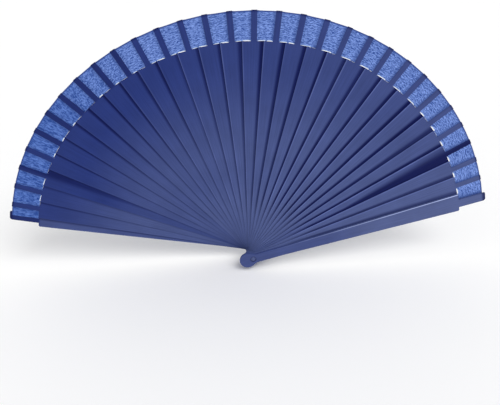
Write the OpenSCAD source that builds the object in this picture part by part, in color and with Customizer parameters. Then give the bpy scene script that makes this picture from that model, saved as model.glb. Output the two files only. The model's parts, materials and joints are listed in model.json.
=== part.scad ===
// Folding hand fan, fully open and upright: thin wooden sticks between two thicker guards,
// all turning on one rivet, with a narrow band of cloth behind the ribs at the rim.
// The front looks towards -Y, the rear guard is at the left and the front guard at the right.
// The rivet's axis is the Y axis, and the rear guard's outer face is the plane y = 0.
// Each stick has a layer of its own, so it clears its neighbours all the way to closed.

/* [Opening] */
// Number of thin sticks between the two guards
stick_count = 30; // [16:1:36]
// Angle between neighbouring sticks of the open fan, in degrees
fold_angle = 5; // [3:0.1:6]
// Angle between the rear guard and the first stick, in degrees
end_fold_angle = 3; // [2:0.1:6]

/* [Sticks] */
// Length of a stick's body, from the rivet's axis to its shoulder
body_len = 194; // [140:1:260]
// Length of a rib, from the shoulder to its tip
rib_len = 23; // [12:0.5:60]
// Width of a stick's body at its shoulder
stick_w = 18.8; // [14:0.1:26]
// Width of a rib
rib_w = 4.5; // [2.5:0.1:7]
// Thickness of a stick
stick_t = 0.6; // [0.45:0.05:1.5]
// Depth that a rib is thinned from behind, as a seat for the cloth
rib_seat = 0.25; // [0.2:0.01:0.3]

/* [Guards] */
// Width of a guard at its shoulder
guard_w = 17.2; // [12:0.1:24]
// Thickness of a guard
guard_t = 2.2; // [1.5:0.1:4]
// Width of a guard's blade, which lies over the end of the cloth
blade_w = 7.7; // [5:0.1:10]
// Distance that a blade is set from its guard's middle towards the outer edge
blade_shift = 1; // [0:0.1:2]
// Length that a blade runs on past the ribs' tips
blade_overrun = 1.5; // [0:0.1:6]
// Radius of a blade's tip corner on the outer side
blade_round = 2.4; // [0.5:0.1:3.5]

/* [Neck and head] */
// Width of the necks
neck_w = 8.6; // [6:0.1:11]
// Distance from the rivet's axis that the necks run on at one width
neck_len = 30; // [14:1:60]
// Width of the round heads
head_w = 15; // [13:0.1:20]
// Reach of the heads past the rivet's axis
head_reach = 12.5; // [9:0.1:16]
// Radius of the hollow between neck and head
neck_round = 8; // [4:0.5:14]

/* [Rivet] */
// Diameter of the rivet's pin
pin_d = 2.5; // [2:0.1:4]
// Diameter of the rivet's front head
rivet_head_d = 4.4; // [3.6:0.1:6]
// Diameter of the peened tail
tail_d = 3.8; // [3.4:0.1:6]
// Height of the rivet's front head and of the tail
rivet_head_h = 0.7; // [0.4:0.05:1.2]
// Diameter of the rear washer
washer_d = 6.4; // [5:0.1:8]
// Thickness of the rear washer
washer_t = 0.3; // [0.2:0.05:0.6]
// Depth of the seats that take the rivet's head and the washer
seat_depth = 0.4; // [0.2:0.05:0.8]

/* [Cloth] */
// Thickness of the cloth
cloth_t = 0.2; // [0.15:0.01:0.24]
// Open slit between the sticks' shoulders and the cloth
slit = 1; // [0.5:0.1:4]
// Distance that the cloth's rim stays short of the ribs' tips
rim_inset = 0.3; // [0:0.1:2]
// Distance from a rib's right edge to the fold beside it
fold_set = 1; // [0.6:0.1:2]

/* [Clearances] */
// Gap between neighbouring layers
layer_gap = 0.08; // [0.06:0.01:0.3]
// Gap round the pin in each bore
pin_gap = 0.05; // [0.02:0.01:0.09]
// Gap round the rivet's head and the washer in their seats
seat_gap = 0.2; // [0.1:0.05:0.5]
// Gap under the rivet's front head, which lets the fan turn
head_play = 0.05; // [0.03:0.01:0.1]
// Glue line between the cloth and a rib or blade
glue_gap = 0.03; // [0.02:0.005:0.05]

/* [Hidden] */
$fn = 64;
arc_step = 12;
root_lap = 2;
layer_pitch = stick_t + layer_gap;
last = stick_count + 1;
tip_r = body_len + rib_len;
blade_tip_r = tip_r + blade_overrun;
stack_t = layer(last) + guard_t;
head_set = head_reach - head_w / 2;
head_r = head_w / 2;
round_y = sqrt(pow(head_r + neck_round, 2) - pow(neck_w / 2 + neck_round, 2)) - head_set;
round_angle = atan2(round_y + head_set, neck_w / 2 + neck_round);
cloth_in_r = body_len + slit;
cloth_out_r = tip_r - rim_inset;
wood_colour = [0.20, 0.25, 0.53];
cloth_colour = [0.40, 0.54, 0.84];
metal_colour = [0.45, 0.48, 0.60];

function stick_name(k) = str("stick_", k < 10 ? "0" : "", k);

// Height of a layer's back face over the rear guard's outer face; 0 is the rear guard
function layer(k) = k == 0 ? 0 : guard_t + layer_gap + (k - 1) * layer_pitch;

// Angle from one stick to the next
function fold(k) = k == 0 ? end_fold_angle : fold_angle;

// Direction of a stick, anticlockwise from the right as seen from the front
function heading(k) =
    90 + (end_fold_angle + stick_count * fold_angle) / 2
    - (k == 0 ? 0 : end_fold_angle + (k - 1) * fold_angle);

// Height of the cloth's back face where it lies against a stick
function cloth_level(k) =
    k == 0 ? guard_t + glue_gap : layer(k) + rib_seat - glue_gap - cloth_t;

function arc(centre, r, from, to) = [
    for (i = [0:ceil(abs(to - from) / arc_step)])
        let (a = from + (to - from) * i / ceil(abs(to - from) / arc_step))
        centre + r * [cos(a), sin(a)]
];

function mirrored(points) = [
    for (i = [len(points) - 1:-1:0]) [-points[i][0], points[i][1]]
];

// Right half of a stick's outline, from the bottom of its head to its shoulder
function right_half(width) = concat(
    arc([0, -head_set], head_r, -90, round_angle),
    arc([neck_w / 2 + neck_round, round_y], neck_round, round_angle + 180, 180),
    [[neck_w / 2, neck_len], [width / 2, body_len]]
);

// Stands a flat piece up in its layer and turns it to its direction
module place(k) {
    rotate([90, 0, 0])
        translate([0, 0, layer(k)])
            rotate([0, 0, heading(k) - 90])
                children();
}

module body_plate(width, thick) {
    right = right_half(width);
    linear_extrude(thick)
        polygon(concat(right, mirrored(right)));
}

module bore(thick) {
    translate([0, 0, -1])
        cylinder(h = thick + 2, r = pin_d / 2 + pin_gap);
}

// Blade of a guard; side is 1 where the outer edge is at the right, -1 where it is at the left
module blade(side, from, to) {
    inner = -side * (blade_w / 2 - blade_shift);
    outer = side * (blade_w / 2 + blade_shift);
    corner = [outer - side * blade_round, blade_tip_r - blade_round];
    tip_arc = arc(corner, blade_round, 90 - side * 90, 90);
    translate([0, 0, from])
        linear_extrude(to - from)
            polygon(concat(
                [[inner, body_len - root_lap], [outer, body_len - root_lap]],
                tip_arc,
                [[inner, blade_tip_r]]
            ));
}

module stick(k) {
    color(wood_colour)
        place(k)
            difference() {
                union() {
                    body_plate(stick_w, stick_t);
                    translate([-rib_w / 2, body_len - root_lap, rib_seat])
                        cube([rib_w, rib_len + root_lap, stick_t - rib_seat]);
                }
                bore(stick_t);
            }
}

module rear_guard() {
    color(wood_colour)
        place(0)
            difference() {
                union() {
                    body_plate(guard_w, guard_t);
                    blade(-1, 0, guard_t);
                }
                bore(guard_t);
                translate([0, 0, -1])
                    cylinder(h = 1 + seat_depth, r = washer_d / 2 + seat_gap);
            }
}

module front_guard() {
    color(wood_colour)
        place(last)
            difference() {
                union() {
                    body_plate(guard_w, guard_t);
                    blade(1, rib_seat, guard_t);
                }
                bore(guard_t);
                translate([0, 0, guard_t - seat_depth])
                    cylinder(h = 1 + seat_depth, r = rivet_head_d / 2 + seat_gap);
            }
}

// Pin with its front head, and its tail peened over the washer
module rivet() {
    head_at = stack_t - seat_depth + head_play;
    tail_at = seat_depth - washer_t;
    dome = 0.75;
    color(metal_colour)
        rotate([90, 0, 0])
            union() {
                translate([0, 0, tail_at - rivet_head_h / 2])
                    cylinder(h = head_at - tail_at + rivet_head_h, r = pin_d / 2);
                translate([0, 0, head_at])
                    cylinder(
                        h = rivet_head_h,
                        r1 = rivet_head_d / 2,
                        r2 = dome * rivet_head_d / 2
                    );
                translate([0, 0, tail_at - rivet_head_h])
                    cylinder(h = rivet_head_h, r1 = dome * tail_d / 2, r2 = tail_d / 2);
            }
}

module rear_washer() {
    color(metal_colour)
        rotate([90, 0, 0])
            translate([0, 0, seat_depth - washer_t])
                difference() {
                    cylinder(h = washer_t, r = washer_d / 2);
                    translate([0, 0, -1])
                        cylinder(h = washer_t + 2, r = pin_d / 2 + pin_gap);
                }
}

// Radius, at an angle past a rib, of the straight line from that rib's radius to the next rib's
function chord_r(r, past, gap) = r * cos(gap / 2) / cos(gap / 2 - past);

// Angle past a stick's middle at which the cloth folds up to the next layer
function fold_past(k) =
    ((k == 0 ? blade_w / 2 - blade_shift : rib_w / 2) + fold_set) / cloth_in_r * 180 / PI;

function ring_point(r, a) = [r * cos(a), r * sin(a)];

// Cloth along one stick, from the fold beside the stick before it to the fold beside itself
module cloth_panel(k) {
    before = heading(k - 1) - fold_past(k - 1);
    after = heading(k) - fold_past(k);
    past = fold_past(k);
    gap = fold(k - 1);
    translate([0, 0, cloth_level(k)])
        linear_extrude(cloth_t)
            polygon([
                ring_point(chord_r(cloth_in_r, fold_past(k - 1), gap), before),
                ring_point(chord_r(cloth_out_r, fold_past(k - 1), gap), before),
                ring_point(cloth_out_r, heading(k)),
                if (k < last) ring_point(chord_r(cloth_out_r, past, fold_angle), after),
                if (k < last) ring_point(chord_r(cloth_in_r, past, fold_angle), after),
                ring_point(cloth_in_r, heading(k))
            ]);
}

// Upright strip of a fold, which joins one panel to the next
module cloth_fold(k) {
    past = fold_past(k);
    gap = fold(k);
    thin = cloth_t / cloth_in_r * 180 / PI;
    translate([0, 0, cloth_level(k)])
        linear_extrude(cloth_level(k + 1) - cloth_level(k) + cloth_t)
            polygon([
                for (a = [past, past - thin])
                    ring_point(chord_r(cloth_in_r, a, gap), heading(k) - a),
                for (a = [past - thin, past])
                    ring_point(chord_r(cloth_out_r, a, gap), heading(k) - a)
            ]);
}

// Start of the cloth on the front of the rear guard's blade
module cloth_start() {
    past = fold_past(0);
    translate([0, 0, cloth_level(0)])
        linear_extrude(cloth_t)
            polygon([
                ring_point(cloth_in_r, heading(0)),
                ring_point(cloth_out_r, heading(0)),
                ring_point(chord_r(cloth_out_r, past, fold(0)), heading(0) - past),
                ring_point(chord_r(cloth_in_r, past, fold(0)), heading(0) - past)
            ]);
}

module leaf() {
    color(cloth_colour)
        rotate([90, 0, 0])
            union() {
                cloth_start();
                for (k = [1:last]) cloth_panel(k);
                for (k = [0:stick_count]) cloth_fold(k);
            }
}

rear_guard();
for (k = [1:stick_count])
    stick(k);
front_guard();
rivet();
rear_washer();
leaf();
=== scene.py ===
import json
import math
import random

import bmesh
import bpy
from mathutils import Matrix, Vector

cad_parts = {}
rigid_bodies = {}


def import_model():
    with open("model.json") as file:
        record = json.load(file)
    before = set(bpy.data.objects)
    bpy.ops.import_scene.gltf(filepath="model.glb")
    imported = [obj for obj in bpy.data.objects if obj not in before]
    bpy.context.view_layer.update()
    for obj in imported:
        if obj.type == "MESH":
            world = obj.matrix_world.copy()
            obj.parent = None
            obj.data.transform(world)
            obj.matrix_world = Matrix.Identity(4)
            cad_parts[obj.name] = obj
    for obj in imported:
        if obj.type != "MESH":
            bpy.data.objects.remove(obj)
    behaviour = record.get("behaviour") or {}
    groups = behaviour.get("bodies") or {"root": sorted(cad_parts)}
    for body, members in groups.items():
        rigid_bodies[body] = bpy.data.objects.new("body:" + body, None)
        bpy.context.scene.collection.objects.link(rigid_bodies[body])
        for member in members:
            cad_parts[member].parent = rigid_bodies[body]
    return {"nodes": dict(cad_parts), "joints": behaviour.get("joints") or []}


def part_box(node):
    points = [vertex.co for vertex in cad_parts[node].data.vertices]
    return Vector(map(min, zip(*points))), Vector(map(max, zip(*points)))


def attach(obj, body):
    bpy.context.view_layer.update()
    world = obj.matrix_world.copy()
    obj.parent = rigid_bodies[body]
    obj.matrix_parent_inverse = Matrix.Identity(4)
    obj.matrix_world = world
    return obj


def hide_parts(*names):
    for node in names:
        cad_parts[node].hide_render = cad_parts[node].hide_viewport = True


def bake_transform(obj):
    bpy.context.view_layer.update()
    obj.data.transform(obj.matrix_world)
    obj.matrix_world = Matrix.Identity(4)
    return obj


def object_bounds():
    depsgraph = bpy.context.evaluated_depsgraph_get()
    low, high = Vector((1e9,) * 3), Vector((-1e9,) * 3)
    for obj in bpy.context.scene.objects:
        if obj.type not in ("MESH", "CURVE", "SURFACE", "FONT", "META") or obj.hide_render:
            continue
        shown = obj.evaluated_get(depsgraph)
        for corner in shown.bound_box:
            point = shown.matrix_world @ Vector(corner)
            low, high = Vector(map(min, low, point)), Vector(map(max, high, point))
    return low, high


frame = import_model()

cad_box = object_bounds()


# ---- Sticks ----
# Thirty sticks sawn from thin close-grained wood, each with a head, a neck, a widening body, a
# square shoulder and a narrow rib. They are stacked on one rivet, and each joint opens one fold.
# Thin dark blue paint, with a painted sheen that fades towards the rim, a painted shadow beside
# the next stick and a painted highlight on each open edge.

joints = frame["joints"]
stack = [joints[0]["parent"]] + [joint["child"] for joint in joints]
folds = [math.radians(joint["range_deg"][1]) for joint in joints]
headings = [math.pi / 2 + sum(folds) / 2 - sum(folds[:k]) for k in range(len(stack))]
last = len(stack) - 1


def upright(k):
    """Turns stick k about the rivet, so that it points straight up."""
    return Matrix.Rotation(headings[k] - math.pi / 2, 4, "Y")


def merged_copy(node):
    """The CAD solid's shape as a clean mesh: one point at each corner, one face for each flat."""
    same_place, same_plane = 1e-6, math.radians(0.5)
    shape = bmesh.new()
    shape.from_mesh(frame["nodes"][node].data)
    bmesh.ops.remove_doubles(shape, verts=shape.verts, dist=same_place)
    bmesh.ops.dissolve_limit(shape, angle_limit=same_plane, verts=shape.verts, edges=shape.edges)
    return shape


def long_side(k, hand):
    """The ends of stick k's long edge, neck to shoulder; hand is -1 for left and 1 for right."""
    shape = merged_copy(stack[k])
    turn = upright(k)
    edges = [e for e in shape.edges if (turn @ e.verts[0].co).x * hand > 0]
    side = max(edges, key=lambda e: e.calc_length())
    ends = sorted((v.co.copy() for v in side.verts), key=lambda p: p.length)
    shape.free()
    return ends


def left_of(point, line, turn):
    """How far a point lies to the left of a line from the rivet outwards, seen from the front."""
    a, b, p = (turn @ q for q in (*line, point))
    return ((b.x - a.x) * (p.z - a.z) - (b.z - a.z) * (p.x - a.x)) / (b - a).length


left_sides = [long_side(k, -1) for k in range(len(stack))]
right_sides = [long_side(k, 1) for k in range(len(stack))]
body_len = (upright(1) @ left_sides[1][1]).z
rib_tip = max((upright(1) @ v.co).z for v in frame["nodes"][stack[1]].data.vertices)


def add_node(tree, kind, inputs=None, **settings):
    """A new node in a tree; each input is given a value or another node's output."""
    node = tree.nodes.new(kind)
    for name, value in settings.items():
        setattr(node, name, value)
    for name, value in (inputs or {}).items():
        if isinstance(value, bpy.types.NodeSocket):
            tree.links.new(value, node.inputs[name])
        else:
            node.inputs[name].default_value = value
    return node


def math_node(tree, operation, *values):
    """The result of one sum on numbers or outputs."""
    inputs = dict(enumerate(values))
    return add_node(tree, "ShaderNodeMath", inputs, operation=operation).outputs[0]


def ramp_down(tree, value, full, none):
    """1 where value is at full, falling smoothly to 0 where it is at none."""
    node = add_node(tree, "ShaderNodeMapRange", {
        "Value": value, "From Min": full, "From Max": none, "To Min": 1.0, "To Max": 0.0,
    }, interpolation_type="SMOOTHSTEP")
    return node.outputs["Result"]


def spread(tree, value, low, high):
    """A noise value's middle range, stretched over low to high."""
    least, most = 0.3, 0.7
    return add_node(tree, "ShaderNodeMapRange", {
        "Value": value, "From Min": least, "From Max": most, "To Min": low, "To Max": high,
    }).outputs["Result"]


def blend_colour(tree, amount, first, second, mode="MIX"):
    """Two colours or outputs, mixed by an amount."""
    node = add_node(tree, "ShaderNodeMix", {0: amount}, data_type="RGBA", blend_type=mode)
    for socket, colour in ((node.inputs[6], first), (node.inputs[7], second)):
        if isinstance(colour, bpy.types.NodeSocket):
            tree.links.new(colour, socket)
        else:
            socket.default_value = (*colour, 1)
    return node.outputs[2]


def attribute(tree, label):
    """A number that the mesh keeps at each of its points."""
    return add_node(tree, "ShaderNodeAttribute", attribute_name=label).outputs["Fac"]


def new_group(name, inputs, outputs):
    """A shader node group of plain numbers; returns it with its two end nodes."""
    group = bpy.data.node_groups.new(name, "ShaderNodeTree")
    for label, value in inputs.items():
        socket = group.interface.new_socket(label, in_out="INPUT", socket_type="NodeSocketFloat")
        socket.default_value = value
    for label in outputs:
        group.interface.new_socket(label, in_out="OUTPUT", socket_type="NodeSocketFloat")
    return group, group.nodes.new("NodeGroupInput"), group.nodes.new("NodeGroupOutput")


def grain_group():
    """Fine streaks of wood grain under the paint, along the grain map's second axis."""
    group, start, end = new_group(
        "wood_grain", {"Across Scale": 1400.0, "Along Scale": 26.0, "Cloud Scale": 45.0},
        ["Streaks", "Clouds", "Height"])
    grain_map = add_node(group, "ShaderNodeUVMap", uv_map="grain").outputs["UV"]
    scale = add_node(group, "ShaderNodeCombineXYZ", {
        "X": start.outputs["Across Scale"], "Y": start.outputs["Along Scale"],
    }).outputs[0]
    stretched = add_node(group, "ShaderNodeVectorMath", {0: grain_map, 1: scale},
                         operation="MULTIPLY").outputs[0]
    streaks = add_node(group, "ShaderNodeTexNoise", {
        "Vector": stretched, "Scale": 1.0, "Detail": 4.0, "Roughness": 0.6, "Distortion": 0.3,
    }).outputs["Fac"]
    clouds = add_node(group, "ShaderNodeTexNoise", {
        "Vector": grain_map, "Scale": start.outputs["Cloud Scale"], "Detail": 3.0,
        "Roughness": 0.5,
    }).outputs["Fac"]
    group.links.new(streaks, end.inputs["Streaks"])
    group.links.new(clouds, end.inputs["Clouds"])
    group.links.new(math_node(group, "ADD", streaks, clouds), end.inputs["Height"])
    return group


def paint_marks_group():
    """How much painted sheen, painted shade and painted highlight a place on a stick gets, and how
    dark its rib tip is. The marks beside the edges grow from Marks From to Marks Full along the
    stick, and the tone turns over its range."""
    band, band_growth, band_start, core = 0.0195, 0.7, 0.058, 0.35
    shadow_spread_from = 0.095
    near_part, far_part = 0.100, 0.175
    rib_from, rib_to = body_len - 0.0015, body_len + 0.0010
    dark_tip, tip_depth = 0.0026, 0.85
    ring_radius, ring_width, ring_depth = 0.0024, 0.0007, 0.8
    root_full, root_end = 0.045, 0.085
    least_highlight = 0.7
    group, start, end = new_group("paint_marks", {
        "Marks From": 0.025, "Marks Full": 0.065, "Tone Turns From": 0.095, "Tone Turned": 0.190,
        "Highlight Width": 0.0012, "Clouds": 0.5,
    }, ["Tone", "Darkened", "Edge Highlight"])
    given = start.outputs

    def calc(operation, *values):
        return math_node(group, operation, *values)

    def times(value, label):
        return calc("MULTIPLY", value, attribute(group, label))

    along = add_node(group, "ShaderNodeSeparateXYZ", {
        "Vector": add_node(group, "ShaderNodeUVMap", uv_map="grain").outputs["UV"],
    }).outputs["Y"]

    # Painted sheen: paler near the rivet and on the paler sticks, fading towards the rim
    turned = calc("SUBTRACT", 1.0, ramp_down(group, along, given["Tone Turns From"],
                                             given["Tone Turned"]))
    tone = calc("SUBTRACT", attribute(group, "pale"), times(turned, "deepening"))
    near_rivet = ramp_down(group, along, root_full, root_end)
    tone = calc("ADD", tone, times(near_rivet, "root"))
    group.links.new(tone, end.inputs["Tone"])

    marked = calc("SUBTRACT", 1.0, ramp_down(group, along, given["Marks From"],
                                             given["Marks Full"]))
    # Painted shadow: a dark line beside the stick over this one, wider further out on some sticks
    reach = calc("MULTIPLY", calc("MULTIPLY_ADD", along, band_growth, band_start), band)
    past = calc("MAXIMUM", calc("SUBTRACT", along, shadow_spread_from), 0.0)
    reach = calc("ADD", reach, times(past, "shadow_spread"))
    line = ramp_down(group, calc("DIVIDE", attribute(group, "cover"), reach), core, 1.0)
    line_depth = add_node(group, "ShaderNodeMapRange", {
        "Value": along, "From Min": near_part, "From Max": far_part,
        "To Min": attribute(group, "near_depth"), "To Max": attribute(group, "far_depth"),
    }).outputs["Result"]
    line = calc("MULTIPLY", calc("MULTIPLY", line, marked), line_depth)
    tip = calc("MULTIPLY", ramp_down(group, along, rib_tip, rib_tip - dark_tip), tip_depth)
    on_rib = calc("SUBTRACT", 1.0, ramp_down(group, along, rib_from, rib_to))
    # Painted shade in a ring round the rivet's head
    across_axis = add_node(group, "ShaderNodeVectorMath", {
        0: add_node(group, "ShaderNodeTexCoord").outputs["Object"], 1: (1.0, 0.0, 1.0),
    }, operation="MULTIPLY").outputs[0]
    from_rivet = add_node(group, "ShaderNodeVectorMath", {0: across_axis}, operation="LENGTH")
    off_ring = calc("SUBTRACT", from_rivet.outputs["Value"], ring_radius)
    ring = ramp_down(group, calc("ABSOLUTE", off_ring), 0.0, ring_width)
    # All darkened marks: painted shadow line, painted shade ring, darker rib tip and darker rib
    darkened = calc("MAXIMUM", line, tip)
    darkened = calc("MAXIMUM", darkened, times(on_rib, "rib_depth"))
    darkened = calc("MAXIMUM", darkened, calc("MULTIPLY", ring, ring_depth))
    group.links.new(darkened, end.inputs["Darkened"])

    # Painted highlight along the stick's own open edge
    rubbed = ramp_down(group, attribute(group, "rub"), calc("MULTIPLY", given["Highlight Width"], core),
                       given["Highlight Width"])
    highlight = times(spread(group, given["Clouds"], least_highlight, 1.0), "highlight")
    rubbed = calc("MULTIPLY", rubbed, calc("MULTIPLY", marked, highlight))
    group.links.new(rubbed, end.inputs["Edge Highlight"])
    return group


# Blues for the rim, a painted sheen, painted shade and a painted edge highlight, in this order
rim_blue = (0.0181, 0.0341, 0.1670)
sheen_blue = (0.0754, 0.1015, 0.2474)
deep_blue = (0.0007, 0.0035, 0.0620)
rubbed_blue = (0.105, 0.140, 0.360)
wood_grain = grain_group()
paint_marks = paint_marks_group()


def painted_wood(name, roughness, shine, rubbed_tone, sizes):
    """Blue paint over the grain, with painted sheen, painted shade and painted edge highlights.
    Sizes holds the places along a stick where the marks and the tone change, and the width of a
    highlighted edge."""
    streaky, cloudy = 0.12, 0.06
    smoother, rougher = 0.05, 0.07
    material = bpy.data.materials.new(name)
    material.use_nodes = True
    tree = material.node_tree
    shader = tree.nodes["Principled BSDF"]
    grain = add_node(tree, "ShaderNodeGroup", node_tree=wood_grain).outputs
    marks = add_node(tree, "ShaderNodeGroup", {**sizes, "Clouds": grain["Clouds"]},
                     node_tree=paint_marks).outputs
    colour = blend_colour(tree, marks["Tone"], rim_blue, sheen_blue)
    colour = blend_colour(tree, marks["Darkened"], colour, deep_blue)
    colour = blend_colour(tree, marks["Edge Highlight"], colour, rubbed_tone)
    mottle = math_node(tree, "MULTIPLY",
                       spread(tree, grain["Streaks"], 1 - streaky, 1 + streaky),
                       spread(tree, grain["Clouds"], 1 - cloudy, 1 + cloudy))
    shade = add_node(tree, "ShaderNodeCombineColor", {
        channel: mottle for channel in ("Red", "Green", "Blue")
    }).outputs["Color"]
    tree.links.new(blend_colour(tree, 1.0, colour, shade, "MULTIPLY"), shader.inputs["Base Color"])
    gloss = spread(tree, grain["Streaks"], roughness - smoother, roughness + rougher)
    tree.links.new(gloss, shader.inputs["Roughness"])
    bump = add_node(tree, "ShaderNodeBump", {
        "Height": grain["Height"], "Strength": 0.35, "Distance": 0.00005,
    })
    tree.links.new(bump.outputs["Normal"], shader.inputs["Normal"])
    shader.inputs["Specular IOR Level"].default_value = shine
    return material


def wooden_piece(k, edge, material, reach, tones, round_corners=None):
    """Stick k with its edges broken, and its painted sheen, shade and highlight. Reach widens or
    narrows the painted shadow line beside the next stick, and each stick is sawn from another place
    in the wood."""
    sharp_corner, sharp_shading = math.radians(35), math.radians(25)
    blank_spacing = 0.03
    uncovered = 1.0
    name = "painted_" + stack[k]
    turn = upright(k)
    shape = merged_copy(stack[k])
    if round_corners:
        round_corners(shape, turn)
    sharp = [e for e in shape.edges if e.is_manifold and e.calc_face_angle() > sharp_corner]
    bmesh.ops.bevel(shape, geom=sharp, offset=edge, segments=2, profile=0.6,
                    affect="EDGES", clamp_overlap=True)
    # The bevels leave a few faces in an order that can change from run to run
    shape.verts.index_update()
    in_order = sorted(shape.faces, key=lambda face: [vert.index for vert in face.verts])
    places = {face: place for place, face in enumerate(in_order)}
    shape.faces.sort(key=places.get)
    low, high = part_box(stack[k])
    middle = (low.y + high.y) / 2

    def cover(p):
        """How far a point is from the stick that lies over it, in front or behind, in reaches."""
        if p.y < middle:
            return left_of(p, left_sides[k + 1], turn) / reach if k < last else uncovered
        return -left_of(p, right_sides[k - 1], turn) / reach if k > 0 else uncovered

    def rub(p):
        """How far a point is from the stick's own open edge."""
        if p.y < middle:
            return -left_of(p, left_sides[k], turn)
        return left_of(p, right_sides[k], turn)

    values = {label: lambda p, tone=tone: tone for label, tone in tones.items()}
    values.update(cover=cover, rub=rub)
    layers = {label: shape.verts.layers.float.new(label) for label in values}
    grain = shape.loops.layers.uv.new("grain")
    for face in shape.faces:
        face.smooth = True
        for loop in face.loops:
            place = turn @ loop.vert.co
            loop[grain].uv = (place.x + k * blank_spacing, place.z)
    for vert in shape.verts:
        for label, value in values.items():
            vert[layers[label]] = value(vert.co)
    mesh = bpy.data.meshes.new(name)
    shape.to_mesh(mesh)
    shape.free()
    mesh.set_sharp_from_angle(angle=sharp_shading)
    mesh.materials.append(material)
    piece = bpy.data.objects.new(name, mesh)
    bpy.context.scene.collection.objects.link(piece)
    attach(piece, stack[k])
    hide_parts(stack[k])


def eased(value, low, high):
    """0 below low, rising smoothly to 1 above high."""
    part = min(1.0, max(0.0, (value - low) / (high - low)))
    return part * part * (3 - 2 * part)


stick_edge = 0.00010
stick_marks = {
    "Marks From": 0.025, "Marks Full": 0.065, "Tone Turns From": 0.095, "Tone Turned": 0.190,
    "Highlight Width": 0.0012,
}
stick_paint = painted_wood("stick_paint", roughness=0.46, shine=0.08, rubbed_tone=rubbed_blue,
                           sizes=stick_marks)

# From left to right the painted sheen gets stronger and fades less towards the rim, and the
# painted shadow line beside the next stick gets wider and darker
first_tone, last_tone, tone_slip = 0.54, 0.88, 0.04
deepest, deep_share = 0.70, 2.3
narrow_line, wide_line, least_width, most_width = 0.80, 1.35, 0.85, 1.10
near_faint, near_strong, near_from, near_full = 0.28, 0.94, 0.33, 0.68
far_faint, far_strong, line_slip = 0.78, 0.92, 0.12

# Painted highlight on the open edges: stronger on the right half, strongest on two sticks near
# the front guard
least_rubbed, rubbed_from, rubbed_full = 0.20, 0.26, 0.48
faint_highlight, strong_highlight, added_highlight = 0.15, 0.60, 0.35
more_rubbed, most_rubbed = range(20, 31), (28, 29)

# Single sticks painted paler or darker as sheen and shade, with a fainter painted shadow line, or
# with a painted shadow line that widens outwards
paler = {1: 0.22, 2: 0.18, 3: -0.24, 28: -0.08, 29: 0.06, 30: 0.12}
fainter = {1: 0.65, 2: 0.5, 12: 0.6, 29: 0.8, 30: 0.62}
shadow_spreads = {2: 0.010, 3: 0.120, 15: 0.012, 26: 0.012, 28: 0.100}

# The painted sheen near the rivet, and how much darker the rib is
pale_roots, pale_root, plain_root = range(8, 27), 0.22, 0.07
dark_ribs, dark_rib, plain_rib = range(5, 11), 0.40, 0.08
uneven = random.Random(7)
uneven_lines = random.Random(4)

for k in range(1, last):
    share = k / last
    rubbed_share = least_rubbed + (1 - least_rubbed) * eased(share, rubbed_from, rubbed_full)
    highlight = rubbed_share * uneven.uniform(faint_highlight, strong_highlight)
    highlight += added_highlight if k in more_rubbed else 0.0
    tone = first_tone + (last_tone - first_tone) * share + paler.get(k, 0.0)
    tone += uneven.uniform(-tone_slip, tone_slip)
    reach = narrow_line + (wide_line - narrow_line) * share
    reach *= uneven.uniform(least_width, most_width)
    near_line = near_faint + (near_strong - near_faint) * eased(share, near_from, near_full)
    far_line = far_faint + (far_strong - far_faint) * share
    strength = fainter.get(k, 1.0)
    wooden_piece(k, stick_edge, stick_paint, reach, {
        "pale": tone,
        "deepening": deepest * (1 - share ** deep_share),
        "near_depth": strength * near_line,
        "far_depth": strength * (far_line + uneven_lines.uniform(-line_slip, line_slip)),
        "root": pale_root if k in pale_roots else plain_root,
        "rib_depth": dark_rib if k in dark_ribs else plain_rib,
        "shadow_spread": shadow_spreads.get(k, 0.0),
        "highlight": 1.0 if k in most_rubbed else highlight,
    })


# ---- Guards ----
# Two thicker outer sticks of the same painted wood protect the closed fan. Their blades are wider
# than a rib and lie outside the cloth. Their corners and long edges are rounded with sandpaper.

guard_edge = 0.00055
# Painted highlight along the front guard's lit top edge
guard_highlight = (0.500, 0.580, 0.920)


def round_shoulder(shape, turn):
    """Rounds the guard's two shoulder corners, seen from the front."""
    shoulder_round = 0.0014
    same_place, near_shoulder, past_blade = 1e-6, 0.001, 0.006
    corners = []
    for edge in shape.edges:
        a, b = (turn @ v.co for v in edge.verts)
        across = abs(a.x - b.x) + abs(a.z - b.z)
        at_shoulder = abs(a.z - body_len) < near_shoulder and abs(a.x) > past_blade
        if across < same_place and at_shoulder:
            corners.append(edge)
    bmesh.ops.bevel(shape, geom=corners, offset=shoulder_round, segments=4, profile=0.5,
                    affect="EDGES", clamp_overlap=True)


rear_marks = {
    "Marks From": 0.025, "Marks Full": 0.065, "Tone Turns From": body_len - 0.002,
    "Tone Turned": body_len + 0.001, "Highlight Width": 0.0009,
}
rear_paint = painted_wood("rear_guard_paint", roughness=0.44, shine=0.10,
                          rubbed_tone=rubbed_blue, sizes=rear_marks)
# The rear guard's blade is painted dark, a painted shade where the cloth lies in front of it
wooden_piece(0, guard_edge, rear_paint, reach=0.9, round_corners=round_shoulder, tones={
    "pale": 0.58, "root": 0.10, "deepening": 0.80, "near_depth": 0.5, "far_depth": 0.5,
    "rib_depth": 0.40, "shadow_spread": 0.0, "highlight": 0.4,
})

front_marks = {
    "Marks From": 0.010, "Marks Full": 0.185, "Tone Turns From": 0.050, "Tone Turned": 0.135,
    "Highlight Width": 0.0008,
}
front_paint = painted_wood("front_guard_paint", roughness=0.40, shine=0.16,
                           rubbed_tone=guard_highlight, sizes=front_marks)
# The front guard's painted sheen grows towards the rim, and its edge takes the painted highlight
wooden_piece(last, guard_edge, front_paint, reach=1.0, round_corners=round_shoulder, tones={
    "pale": 0.45, "root": 0.10, "deepening": -0.72, "near_depth": 0.0, "far_depth": 0.0,
    "rib_depth": 0.0, "shadow_spread": 0.0, "highlight": 1.0,
})


# ---- Rivet and washer ----
# A soft metal pin holds the stack. Its small front head is painted over with the sticks, and its
# tail is peened down on a plain washer behind.

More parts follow.
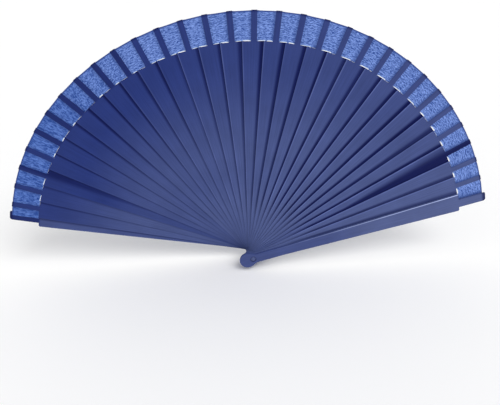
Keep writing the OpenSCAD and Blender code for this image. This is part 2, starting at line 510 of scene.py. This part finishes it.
def turned(name, outline, material, slot, body):
    """A round piece on the rivet's axis, from its outline's radii and places along the axis."""
    around = 48
    sharp_shading = math.radians(40)
    shape = bmesh.new()
    rings = []
    for radius, along in outline:
        count = 1 if radius == 0 else around
        rings.append([
            shape.verts.new((radius * math.cos(math.tau * i / around), along,
                             radius * math.sin(math.tau * i / around)))
            for i in range(count)
        ])
    closed = outline[0][0] != 0
    pairs = list(zip(rings, rings[1:])) + ([(rings[-1], rings[0])] if closed else [])
    for lower, upper in pairs:
        for i in range(around):
            corners = [lower[i % len(lower)], lower[(i + 1) % len(lower)],
                       upper[(i + 1) % len(upper)], upper[i % len(upper)]]
            shape.faces.new(list(dict.fromkeys(corners)))
    bmesh.ops.recalc_face_normals(shape, faces=shape.faces)
    mesh = bpy.data.meshes.new(name)
    shape.to_mesh(mesh)
    shape.free()
    mesh.shade_smooth()
    mesh.set_sharp_from_angle(angle=sharp_shading)
    mesh.materials.append(material)
    piece = bpy.data.objects.new(name, mesh)
    bpy.context.scene.collection.objects.link(piece)
    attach(piece, body)
    return piece


def specks_group():
    """Fine uneven specks on a small metal piece."""
    group, start, end = new_group("metal_specks", {"Scale": 900.0}, ["Specks"])
    specks = add_node(group, "ShaderNodeTexNoise", {
        "Vector": add_node(group, "ShaderNodeTexCoord").outputs["Object"],
        "Scale": start.outputs["Scale"], "Detail": 5.0, "Roughness": 0.65,
    }).outputs["Fac"]
    group.links.new(specks, end.inputs["Specks"])
    return group


metal_specks = specks_group()


def metal(name, colour, second_colour, metallic, roughness, scale):
    """A metal with fine specks, a little rougher and paler where they lie."""
    uneven_by = 0.1
    material = bpy.data.materials.new(name)
    material.use_nodes = True
    tree = material.node_tree
    shader = tree.nodes["Principled BSDF"]
    specks = add_node(tree, "ShaderNodeGroup", {"Scale": scale}, node_tree=metal_specks).outputs[0]
    tree.links.new(blend_colour(tree, specks, colour, second_colour), shader.inputs["Base Color"])
    gloss = add_node(tree, "ShaderNodeMapRange", {
        "Value": specks, "To Min": roughness - uneven_by, "To Max": roughness + uneven_by,
    }).outputs["Result"]
    tree.links.new(gloss, shader.inputs["Roughness"])
    bump = add_node(tree, "ShaderNodeBump", {
        "Height": specks, "Strength": 0.3, "Distance": 0.00005,
    })
    tree.links.new(bump.outputs["Normal"], shader.inputs["Normal"])
    shader.inputs["Metallic"].default_value = metallic
    return material


def domed(radius, foot, crown, steps=6):
    """Outline of a low dome: from its foot's rim in to the middle of its crown."""
    turns = [math.pi / 2 * i / steps for i in range(steps)]
    rise = crown - foot
    return [(radius * math.cos(t), foot + rise * math.sin(t)) for t in turns] + [(0, crown)]


rivet_low, rivet_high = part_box("rivet")
washer_low, washer_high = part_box("rear_washer")
pin_radius, pin_gap = 0.00125, 0.00005
head_radius, head_height = rivet_high.x, 0.0007
head_foot = rivet_low.y + head_height
tail_radius, tail_foot = 0.0019, washer_high.y
rivet_outline = (
    domed(head_radius, head_foot, rivet_low.y)[::-1]
    + [(pin_radius, head_foot), (pin_radius, tail_foot)]
    + domed(tail_radius, tail_foot, rivet_high.y)
)
rivet_paint = metal("rivet_paint", (0.022, 0.038, 0.140), (0.07, 0.10, 0.25),
                    metallic=0.0, roughness=0.40, scale=900.0)
rivet = turned("painted_rivet", rivet_outline, rivet_paint, "blue_metal", stack[0])
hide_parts("rivet")

washer_steel = metal("washer_steel", (0.42, 0.43, 0.45), (0.60, 0.61, 0.63),
                     metallic=1.0, roughness=0.35, scale=1500.0)
washer_radius, washer_bore, washer_edge = washer_high.x, pin_radius + pin_gap, 0.00008
washer_outline = [
    (washer_bore, washer_low.y), (washer_radius - washer_edge, washer_low.y),
    (washer_radius, washer_low.y + washer_edge), (washer_radius, washer_high.y - washer_edge),
    (washer_radius - washer_edge, washer_high.y), (washer_bore, washer_high.y),
]
washer = turned("pressed_washer", washer_outline, washer_steel, "steel", stack[0])
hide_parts("rear_washer")


# ---- Cloth leaf ----
# One band of thin light blue cloth with a small woven figure. It is glued behind the ribs and
# creased beside them, and each pleat climbs to the next stick's layer. Its rim is bound.

cloth_thick = 0.0002
rib_seat = 0.00025
glue = 0.00003
rib_edge, blade_edge = 0.00225, 0.0029
crease_gap, climb = 0.0003, 0.0020
hem_room = 0.00005
leaf_inner = body_len + hem_room
leaf_outer = max(math.hypot(v.co.x, v.co.z) for v in frame["nodes"]["leaf"].data.vertices)
leaf_middle = (leaf_inner + leaf_outer) / 2


def cloth_level(k):
    """Height of the cloth's middle over the rear guard's outer face, where it meets stick k."""
    low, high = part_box(stack[k])
    if k == 0:
        return -low.y + glue + cloth_thick / 2
    return -high.y + rib_seat - glue - cloth_thick / 2


def pleat_tree():
    """One pleat: a grid bent from one rib's axis to the next one's, with its straight rim."""
    across_count, outward_count = 61, 33
    step_from, step_full = 0.0002, 0.0010
    hem_waves, hem_apart = 9.0, 5.3
    left_glue_end, right_glue_end = (0.14, 0.27), (0.90, 0.74)
    free_after, free_before = 0.005, 0.006
    waves_across, waves_outward, waves_apart = 2.0, 1.4, 3.7
    fully_open = 0.0003
    shade_width = 0.0038
    tree = bpy.data.node_groups.new("cloth_pleat", "GeometryNodeTree")
    labels = ["Heading", "Fold", "Inner Radius", "Outer Radius", "Level", "Rise", "First Edge",
              "Next Edge", "Crease Gap", "Climb", "Billow", "Flutter", "Left Gap", "Right Gap",
              "Gap Step", "Shade", "Deep"]
    for label in labels:
        tree.interface.new_socket(label, in_out="INPUT", socket_type="NodeSocketFloat")
    tree.interface.new_socket("Seed", in_out="INPUT", socket_type="NodeSocketInt")
    tree.interface.new_socket("Cloth", in_out="INPUT", socket_type="NodeSocketMaterial")
    tree.interface.new_socket("Mesh", in_out="OUTPUT", socket_type="NodeSocketGeometry")
    given = tree.nodes.new("NodeGroupInput").outputs
    made = tree.nodes.new("NodeGroupOutput")

    def calc(operation, *values):
        return math_node(tree, operation, *values)

    def rise_over(value, low, high):
        return add_node(tree, "ShaderNodeMapRange", {
            "Value": value, "From Min": low, "From Max": high,
        }, interpolation_type="SMOOTHSTEP").outputs["Result"]

    grid = add_node(tree, "GeometryNodeMeshGrid", {
        "Size X": 1.0, "Size Y": 1.0, "Vertices X": across_count, "Vertices Y": outward_count,
    })
    place = add_node(tree, "ShaderNodeSeparateXYZ", {
        "Vector": tree.nodes.new("GeometryNodeInputPosition").outputs[0],
    })
    share = calc("ADD", place.outputs["X"], 0.5)
    outward = calc("ADD", place.outputs["Y"], 0.5)
    turn = calc("MULTIPLY", share, given["Fold"])
    heading = calc("SUBTRACT", given["Heading"], turn)
    half_fold = calc("MULTIPLY", given["Fold"], 0.5)
    straight = calc("DIVIDE", calc("COSINE", half_fold),
                    calc("COSINE", calc("SUBTRACT", turn, half_fold)))
    rim = calc("MULTIPLY", given["Outer Radius"], straight)
    past_step = calc("MULTIPLY", calc("SUBTRACT", turn, given["Gap Step"]), given["Inner Radius"])
    left_part = calc("MULTIPLY", given["Left Gap"], rise_over(past_step, -step_from, -step_full))
    right_part = calc("MULTIPLY", given["Right Gap"], rise_over(past_step, step_from, step_full))
    hem_spot = add_node(tree, "ShaderNodeCombineXYZ", {
        "X": calc("MULTIPLY", share, hem_waves), "Y": calc("MULTIPLY", given["Seed"], hem_apart),
    }).outputs[0]
    hem_wander = add_node(tree, "ShaderNodeTexNoise", {
        "Vector": hem_spot, "Scale": 1.0, "Detail": 2.0,
    }).outputs["Fac"]
    unglued = calc("MULTIPLY", rise_over(share, *left_glue_end),
                   rise_over(share, *right_glue_end))
    hem_gap = calc("MULTIPLY", calc("ADD", left_part, right_part),
                   calc("MULTIPLY", unglued, calc("ADD", hem_wander, 0.5)))
    turn_left = calc("SUBTRACT", given["Fold"], turn)
    shoulder = calc("DIVIDE", given["Inner Radius"],
                    calc("COSINE", calc("MINIMUM", turn, turn_left)))
    hem = calc("ADD", shoulder, hem_gap)
    radius = calc("ADD", hem, calc("MULTIPLY", outward, calc("SUBTRACT", rim, hem)))
    across = calc("MULTIPLY", radius, calc("SINE", turn))
    ahead = calc("MULTIPLY", radius, calc("SINE", turn_left))
    crease = calc("ADD", given["First Edge"], given["Crease Gap"])
    climbed = rise_over(across, crease, calc("ADD", crease, given["Climb"]))
    free = calc("MULTIPLY", rise_over(across, crease, calc("ADD", crease, free_after)),
                rise_over(ahead, given["Next Edge"],
                          calc("ADD", given["Next Edge"], free_before)))
    spot = add_node(tree, "ShaderNodeCombineXYZ", {
        "X": calc("MULTIPLY", share, waves_across),
        "Y": calc("MULTIPLY", outward, waves_outward),
        "Z": calc("MULTIPLY", given["Seed"], waves_apart),
    }).outputs[0]
    wander = add_node(tree, "ShaderNodeTexNoise", {
        "Vector": spot, "Scale": 1.0, "Detail": 2.0,
    }).outputs["Fac"]
    lift = calc("ADD", given["Billow"],
                calc("MULTIPLY", calc("SUBTRACT", wander, 0.5), given["Flutter"]))
    height = calc("ADD", calc("ADD", given["Level"], calc("MULTIPLY", given["Rise"], climbed)),
                  calc("MULTIPLY", lift, free))
    bent = add_node(tree, "ShaderNodeCombineXYZ", {
        "X": calc("MULTIPLY", radius, calc("COSINE", heading)),
        "Y": calc("MULTIPLY", height, -1.0),
        "Z": calc("MULTIPLY", radius, calc("SINE", heading)),
    }).outputs[0]
    depth = calc("SUBTRACT", given["Outer Radius"], given["Inner Radius"])
    weave = add_node(tree, "ShaderNodeCombineXYZ", {
        "X": calc("MULTIPLY", calc("SUBTRACT", math.pi, heading), leaf_middle),
        "Y": calc("ADD", given["Inner Radius"], calc("MULTIPLY", outward, depth)),
    }).outputs[0]
    hem_open = rise_over(hem_gap, 0.0, fully_open)
    shaded = rise_over(calc("SUBTRACT", ahead, given["Next Edge"]), shade_width, 0.0)
    shaded = calc("MULTIPLY", shaded, given["Shade"])

    mesh = grid.outputs["Mesh"]
    for label, kind, domain, value in (("weave", "FLOAT2", "CORNER", weave),
                                       ("crease_shade", "FLOAT", "POINT", shaded),
                                       ("hem_open", "FLOAT", "POINT", hem_open),
                                       ("deep", "FLOAT", "POINT", given["Deep"])):
        mesh = add_node(tree, "GeometryNodeStoreNamedAttribute", {
            "Geometry": mesh, "Name": label, "Value": value,
        }, data_type=kind, domain=domain).outputs["Geometry"]
    mesh = add_node(tree, "GeometryNodeSetPosition", {
        "Geometry": mesh, "Position": bent,
    }).outputs["Geometry"]
    mesh = add_node(tree, "GeometryNodeSetShadeSmooth", {"Geometry": mesh}).outputs[0]
    mesh = add_node(tree, "GeometryNodeRealizeInstances", {"Geometry": mesh}).outputs[0]
    mesh = add_node(tree, "GeometryNodeSetMaterial", {
        "Geometry": mesh, "Material": given["Cloth"],
    }).outputs[0]
    tree.links.new(mesh, made.inputs[0])
    return tree


def figured_cloth():
    """Light blue cloth with small wavering figures, a fine plain weave and a bound dark rim. On
    the left pleats the light threads are painted deeper as painted shade, and the figures run
    outwards in streaks, a painted highlight where light catches crinkles."""
    dark, light, shaded_light = (0.012, 0.052, 0.260), (0.225, 0.350, 0.800), (0.092, 0.185, 0.545)
    crease_shade_blue = (0.030, 0.065, 0.250)
    hem_highlight, hem_highlight_width = (0.460, 0.620, 0.960), 0.0006
    binding, binding_width = (0.030, 0.065, 0.260), 0.0013
    border_core = 0.6
    thread, row = 0.00032, 0.0017
    waver_scale, waver = 300.0, 16.0
    figure_scale, deep_figure_scale = (480.0, 1250.0, 1.0), (1150.0, 210.0, 1.0)
    figure_low, figure_high = 0.36, 0.64
    rows_part, deep_rows_part = 0.45, 0.15
    patch_scale, patches_part, deep_patches_part = 190.0, 0.10, 0.32
    dull, glossy = 0.62, 0.42
    figure_height = 2.0
    material = bpy.data.materials.new("figured_cloth")
    material.use_nodes = True
    tree = material.node_tree
    shader = tree.nodes["Principled BSDF"]

    def calc(operation, *values):
        return math_node(tree, operation, *values)

    deep = attribute(tree, "deep")
    weave = add_node(tree, "ShaderNodeUVMap", uv_map="weave").outputs["UV"]
    split = add_node(tree, "ShaderNodeSeparateXYZ", {"Vector": weave}).outputs
    wavering = add_node(tree, "ShaderNodeTexNoise", {
        "Vector": weave, "Scale": waver_scale, "Detail": 1.0,
    }).outputs["Fac"]
    rows = calc("ADD", calc("MULTIPLY", split["Y"], math.tau / row),
                calc("MULTIPLY", wavering, waver))
    rows = calc("MULTIPLY_ADD", calc("SINE", rows), 0.5, 0.5)
    stretch = add_node(tree, "ShaderNodeMix", {
        0: deep, 4: figure_scale, 5: deep_figure_scale,
    }, data_type="VECTOR").outputs[1]
    drawn = add_node(tree, "ShaderNodeVectorMath", {0: weave, 1: stretch},
                     operation="MULTIPLY").outputs[0]
    dashes = add_node(tree, "ShaderNodeTexNoise", {
        "Vector": drawn, "Scale": 1.0, "Detail": 1.0, "Roughness": 0.5, "Distortion": 0.8,
    }).outputs["Fac"]
    dashes = add_node(tree, "ShaderNodeMapRange", {
        "Value": dashes, "From Min": figure_low, "From Max": figure_high,
    }, interpolation_type="SMOOTHSTEP").outputs["Result"]
    row_share = calc("MULTIPLY_ADD", deep, deep_rows_part - rows_part, rows_part)
    figure = calc("ADD", calc("MULTIPLY", rows, row_share),
                  calc("MULTIPLY", dashes, calc("SUBTRACT", 1.0, row_share)))
    patches = add_node(tree, "ShaderNodeTexNoise", {
        "Vector": weave, "Scale": patch_scale, "Detail": 2.0,
    }).outputs["Fac"]
    patchy = calc("MULTIPLY_ADD", deep, deep_patches_part - patches_part, patches_part)
    figure = calc("ADD", figure, calc("MULTIPLY", spread(tree, patches, -1.0, 1.0), patchy))

    lighter = blend_colour(tree, deep, light, shaded_light)
    colour = blend_colour(tree, figure, dark, lighter)
    # Painted shade in the crease beside the next rib
    colour = blend_colour(tree, attribute(tree, "crease_shade"), colour, crease_shade_blue)
    bound = ramp_down(tree, split["Y"], leaf_outer - border_core * binding_width,
                      leaf_outer - binding_width)
    colour = blend_colour(tree, bound, colour, binding)
    # Painted highlight on the hem where it stands off the shoulders
    hem_lit = ramp_down(tree, split["Y"], leaf_inner + border_core * hem_highlight_width,
                            leaf_inner + hem_highlight_width)
    hem_lit = calc("MULTIPLY", hem_lit, attribute(tree, "hem_open"))
    colour = blend_colour(tree, hem_lit, colour, hem_highlight)
    tree.links.new(colour, shader.inputs["Base Color"])

    threads = [calc("SINE", calc("MULTIPLY", split[axis], math.tau / thread)) for axis in "XY"]
    bump = add_node(tree, "ShaderNodeBump", {
        "Height": calc("ADD", calc("MULTIPLY", figure, figure_height),
                       calc("MULTIPLY", *threads)),
        "Strength": 0.5, "Distance": 0.00004,
    })
    tree.links.new(bump.outputs["Normal"], shader.inputs["Normal"])
    gloss = add_node(tree, "ShaderNodeMapRange", {
        "Value": figure, "To Min": dull, "To Max": glossy,
    }).outputs["Result"]
    tree.links.new(gloss, shader.inputs["Roughness"])
    shader.inputs["Specular IOR Level"].default_value = 0.15
    shader.inputs["Sheen Weight"].default_value = 0.10
    shader.inputs["Sheen Roughness"].default_value = 0.4
    return material


pleat_nodes = pleat_tree()
pleat_inputs = {item.name: item.identifier for item in pleat_nodes.interface.items_tree
                if item.in_out == "INPUT"}
cloth = figured_cloth()


def hem_gaps(k):
    """How far pleat k's hem stands off the shoulders, left and right of the step in its gap."""
    closed_hems = (0, 3, 7)
    half_open, half_gap = (1, 2), 0.00024
    both_open, nearly_closed = range(11, 18), 0.00008
    wide_from, wider = 25, 0.00032
    least_left, most_left = 0.00024, 0.00048
    least_right, most_right = 0.00036, 0.00050
    left = uneven.uniform(least_left, most_left) + (wider if k >= wide_from else 0.0)
    right = uneven.uniform(least_right, most_right) if k in both_open else nearly_closed
    if k in closed_hems:
        return 0.0, 0.0
    return (0.0, half_gap) if k in half_open else (left, right)


def gap_step(k):
    """Where the gap under pleat k changes width, in radians round from stick k. On the left half
    that is at the next stick's shoulder corner, and on the right half at a share of the fold."""
    halfway = 16
    shares = ((18, 0.55), (25, 0.66), (last, 0.50))
    if k < halfway:
        next_corner = upright(k + 1) @ left_sides[k + 1][1]
        return folds[k] - math.atan2(-next_corner.x, next_corner.z)
    return folds[k] * next(share for end, share in shares if k < end)


def pleat(k):
    """The cloth between stick k and the next one, laid from the one to the other."""
    billow, flutter = 0.00025, 0.0003
    least_shade, added_shade = 0.32, 0.45
    # Deep: painted shade on the left pleats, strongest at the rear guard
    most_deep, deep_before, deep_fade = 0.95, 10.4, 4.8
    first_edge = blade_edge if k == 0 else rib_edge
    next_edge = blade_edge if k + 1 == last else rib_edge
    left_gap, right_gap = hem_gaps(k)
    name = f"cloth_pleat_{k + 1:02d}"
    blank = bpy.data.objects.new(name + "_blank", bpy.data.meshes.new(name + "_blank"))
    bpy.context.scene.collection.objects.link(blank)
    modifier = blank.modifiers.new("pleat", "NODES")
    modifier.node_group = pleat_nodes
    sizes = {
        "Heading": headings[k], "Fold": folds[k], "Inner Radius": leaf_inner,
        "Outer Radius": leaf_outer, "Level": cloth_level(k),
        "Rise": cloth_level(k + 1) - cloth_level(k), "First Edge": first_edge,
        "Next Edge": next_edge, "Crease Gap": crease_gap, "Climb": climb,
        "Billow": billow, "Flutter": flutter, "Left Gap": left_gap, "Right Gap": right_gap,
        "Gap Step": gap_step(k), "Shade": least_shade + added_shade * (k + 1) / last,
        "Deep": min(most_deep, max(0.0, (deep_before - k) / deep_fade)),
        "Seed": k, "Cloth": cloth,
    }
    for label, value in sizes.items():
        modifier[pleat_inputs[label]] = value
    thicken = blank.modifiers.new("thickness", "SOLIDIFY")
    thicken.thickness = cloth_thick
    thicken.offset = 0.0
    graph = bpy.context.evaluated_depsgraph_get()
    mesh = bpy.data.meshes.new_from_object(blank.evaluated_get(graph), depsgraph=graph)
    mesh.name = name
    piece = bpy.data.objects.new(name, mesh)
    bpy.context.scene.collection.objects.link(piece)
    bpy.data.objects.remove(blank)
    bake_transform(piece)
    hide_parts("leaf")


for k in range(last):
    pleat(k)


# ---- Table, light and camera ----
# The fan stands open on a plain white painted table, lit by a bright room and one wide lamp high
# up at the front right. The camera looks at it from the front, a little from above.

floor_level = cad_box[0].z
floor_mesh = bpy.data.meshes.new("table")
half_table = 6.0
floor_mesh.from_pydata(
    [(x * half_table, y * half_table, floor_level) for x, y in ((-1, -1), (1, -1), (1, 1), (-1, 1))],
    [], [(0, 1, 2, 3)])
table = bpy.data.objects.new("table", floor_mesh)
bpy.context.scene.collection.objects.link(table)
table_white = bpy.data.materials.new("table_white")
table_white.use_nodes = True
white_shader = table_white.node_tree.nodes["Principled BSDF"]
white_shader.inputs["Base Color"].default_value = (0.98, 0.98, 0.98, 1)
white_shader.inputs["Roughness"].default_value = 0.9
white_shader.inputs["Specular IOR Level"].default_value = 0.1
floor_mesh.materials.append(table_white)

world = bpy.data.worlds.new("studio")
bpy.context.scene.world = world
world.use_nodes = True
sky = world.node_tree
sky.nodes.clear()
rays = add_node(sky, "ShaderNodeLightPath")
seen = math_node(sky, "MAXIMUM", rays.outputs["Is Camera Ray"],
                 math_node(sky, "MAXIMUM", rays.outputs["Is Glossy Ray"],
                           rays.outputs["Is Transmission Ray"]))
room_light = 0.72
strength = math_node(sky, "MAXIMUM", seen, room_light)
background = add_node(sky, "ShaderNodeBackground", {"Color": (1, 1, 1, 1), "Strength": strength})
add_node(sky, "ShaderNodeOutputWorld", {"Surface": background.outputs[0]})


def soft_lamp(name, strength, width, towards):
    """A wide lamp far away; width is the angle it fills in the sky, in degrees."""
    lamp = bpy.data.lights.new(name, "SUN")
    lamp.energy = strength
    lamp.angle = math.radians(width)
    holder = bpy.data.objects.new(name, lamp)
    bpy.context.scene.collection.objects.link(holder)
    holder.rotation_mode = "QUATERNION"
    holder.rotation_quaternion = Vector(towards).to_track_quat("-Z", "Y")


soft_lamp("key", strength=1.3, width=35, towards=(-0.45, 0.75, -1.0))

camera_place = Vector((-0.0390, -0.4328, 0.2815))
camera_back = Vector((-0.0797, -0.8757, 0.4762))
camera_up = Vector((0.0651, 0.4721, 0.8791))
camera_right = camera_up.cross(camera_back)
camera = bpy.data.objects.new("camera", bpy.data.cameras.new("camera"))
bpy.context.scene.collection.objects.link(camera)
camera.data.sensor_width = 36.0
camera.data.lens = 38.66
camera.data.clip_start = 0.01
turned_to_view = Matrix((camera_right, camera_up, camera_back)).transposed().to_4x4()
camera.matrix_world = Matrix.Translation(camera_place) @ turned_to_view
bpy.context.scene.camera = camera
bpy.context.scene.view_settings.view_transform = "Standard"
